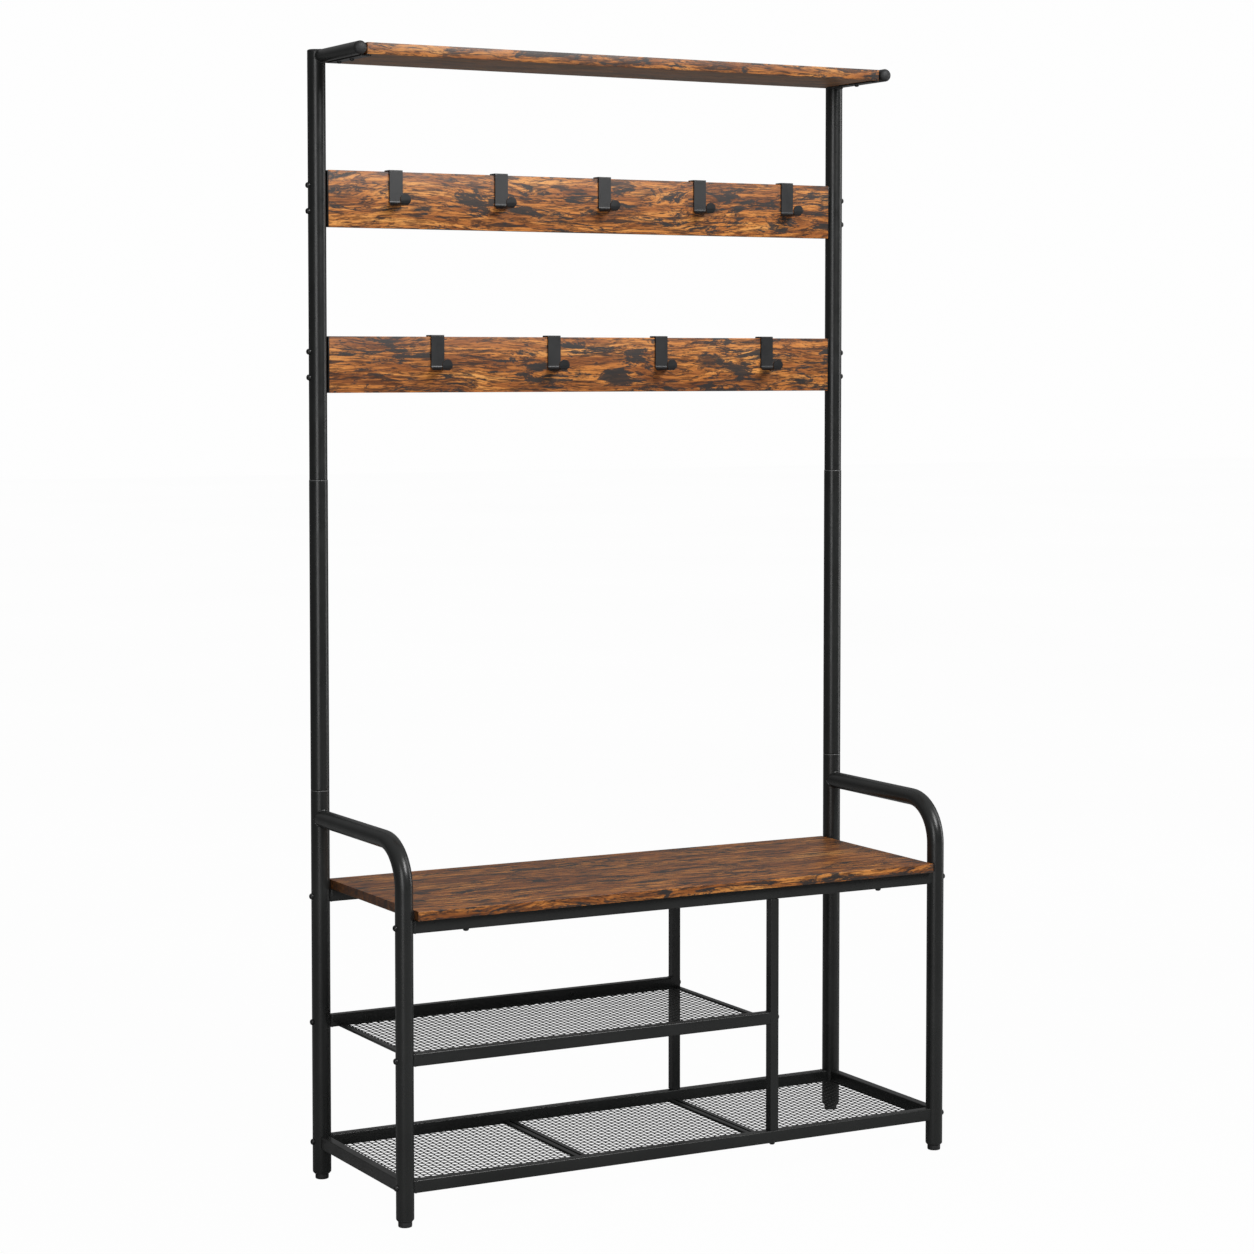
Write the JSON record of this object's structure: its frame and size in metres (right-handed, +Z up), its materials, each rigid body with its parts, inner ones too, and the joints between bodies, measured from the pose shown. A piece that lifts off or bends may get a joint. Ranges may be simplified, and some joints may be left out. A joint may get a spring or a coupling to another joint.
{
  "type": "hall tree with hooks",
  "caption": "Metal-framed hall tree with a wooden bench, wooden hook boards with sliding coat hooks, a top shelf and mesh shoe shelves.",
  "frame": {"origin": "on the floor at the middle of the bounding box", "axes": "+Z up, -Y towards the front of the bench, +X to the right as seen from the front"},
  "size_m": [1.0106, 0.355, 1.812],
  "materials": {
    "frame_steel": "satin black powder coat",
    "hook_steel": "satin black powder coat",
    "shelf_mesh": "satin black woven wire",
    "rustic_wood": "rustic brown wood-grain board",
    "black_plastic": "moulded matt black"
  },
  "bodies": {
    "frame": {"post_lower_left": "frame_steel", "post_lower_right": "frame_steel", "post_middle_left": "frame_steel", "post_middle_right": "frame_steel", "post_upper_left": "frame_steel", "post_upper_right": "frame_steel", "armrest_leg_left": "frame_steel", "armrest_leg_right": "frame_steel", "seat_rail_front": "frame_steel", "seat_rail_rear": "frame_steel", "lower_shelf_rail_front": "frame_steel", "lower_shelf_rail_rear": "frame_steel", "middle_shelf_rail_front": "frame_steel", "middle_shelf_rail_rear": "frame_steel", "upright_front": "frame_steel", "upright_rear": "frame_steel", "lower_shelf_end_left": "frame_steel", "lower_shelf_end_right": "frame_steel", "middle_shelf_bar_1": "frame_steel", "middle_shelf_bar_2": "frame_steel", "lower_shelf_bar_1": "frame_steel", "lower_shelf_bar_2": "frame_steel", "shelf_arm_left": "frame_steel", "shelf_arm_right": "frame_steel", "shelf_bracket_left": "frame_steel", "shelf_bracket_right": "frame_steel", "board_bracket_upper_left": "frame_steel", "board_bracket_upper_right": "frame_steel", "board_bracket_lower_left": "frame_steel", "board_bracket_lower_right": "frame_steel", "post_cap_left": "black_plastic", "post_cap_right": "black_plastic", "arm_cap_left": "black_plastic", "arm_cap_right": "black_plastic", "foot_insert_rear_left": "black_plastic", "foot_insert_rear_right": "black_plastic", "foot_insert_front_left": "black_plastic", "foot_insert_front_right": "black_plastic", "seat_board": "rustic_wood", "top_shelf": "rustic_wood", "hook_board_upper": "rustic_wood", "hook_board_lower": "rustic_wood", "middle_shelf_mesh": "shelf_mesh", "lower_shelf_mesh_1": "shelf_mesh", "lower_shelf_mesh_2": "shelf_mesh", "lower_shelf_mesh_3": "shelf_mesh"},
    "hook_upper_1": {"hook_upper_1": "hook_steel"},
    "hook_upper_2": {"hook_upper_2": "hook_steel"},
    "hook_upper_3": {"hook_upper_3": "hook_steel"},
    "hook_upper_4": {"hook_upper_4": "hook_steel"},
    "hook_upper_5": {"hook_upper_5": "hook_steel"},
    "hook_lower_1": {"hook_lower_1": "hook_steel"},
    "hook_lower_2": {"hook_lower_2": "hook_steel"},
    "hook_lower_3": {"hook_lower_3": "hook_steel"},
    "hook_lower_4": {"hook_lower_4": "hook_steel"},
    "levelling_foot_rear_left": {"levelling_foot_rear_left": "black_plastic"},
    "levelling_foot_rear_right": {"levelling_foot_rear_right": "black_plastic"},
    "levelling_foot_front_left": {"levelling_foot_front_left": "black_plastic"},
    "levelling_foot_front_right": {"levelling_foot_front_right": "black_plastic"}
  },
  "joints": [
    {"name": "hook_upper_1_slide", "type": "slide", "parent": "frame", "child": "hook_upper_1", "axis": [1, 0, 0], "range_m": [-0.07, 0.07]},
    {"name": "hook_upper_2_slide", "type": "slide", "parent": "frame", "child": "hook_upper_2", "axis": [1, 0, 0], "range_m": [-0.07, 0.07]},
    {"name": "hook_upper_3_slide", "type": "slide", "parent": "frame", "child": "hook_upper_3", "axis": [1, 0, 0], "range_m": [-0.07, 0.07]},
    {"name": "hook_upper_4_slide", "type": "slide", "parent": "frame", "child": "hook_upper_4", "axis": [1, 0, 0], "range_m": [-0.07, 0.07]},
    {"name": "hook_upper_5_slide", "type": "slide", "parent": "frame", "child": "hook_upper_5", "axis": [1, 0, 0], "range_m": [-0.07, 0.07]},
    {"name": "hook_lower_1_slide", "type": "slide", "parent": "frame", "child": "hook_lower_1", "axis": [1, 0, 0], "range_m": [-0.085, 0.085]},
    {"name": "hook_lower_2_slide", "type": "slide", "parent": "frame", "child": "hook_lower_2", "axis": [1, 0, 0], "range_m": [-0.085, 0.085]},
    {"name": "hook_lower_3_slide", "type": "slide", "parent": "frame", "child": "hook_lower_3", "axis": [1, 0, 0], "range_m": [-0.085, 0.085]},
    {"name": "hook_lower_4_slide", "type": "slide", "parent": "frame", "child": "hook_lower_4", "axis": [1, 0, 0], "range_m": [-0.085, 0.085]},
    {"name": "levelling_foot_rear_left_height", "type": "slide", "parent": "frame", "child": "levelling_foot_rear_left", "axis": [0, 0, -1], "range_m": [0, 0.01]},
    {"name": "levelling_foot_rear_right_height", "type": "slide", "parent": "frame", "child": "levelling_foot_rear_right", "axis": [0, 0, -1], "range_m": [0, 0.01]},
    {"name": "levelling_foot_front_left_height", "type": "slide", "parent": "frame", "child": "levelling_foot_front_left", "axis": [0, 0, -1], "range_m": [0, 0.01]},
    {"name": "levelling_foot_front_right_height", "type": "slide", "parent": "frame", "child": "levelling_foot_front_right", "axis": [0, 0, -1], "range_m": [0, 0.01]}
  ]
}
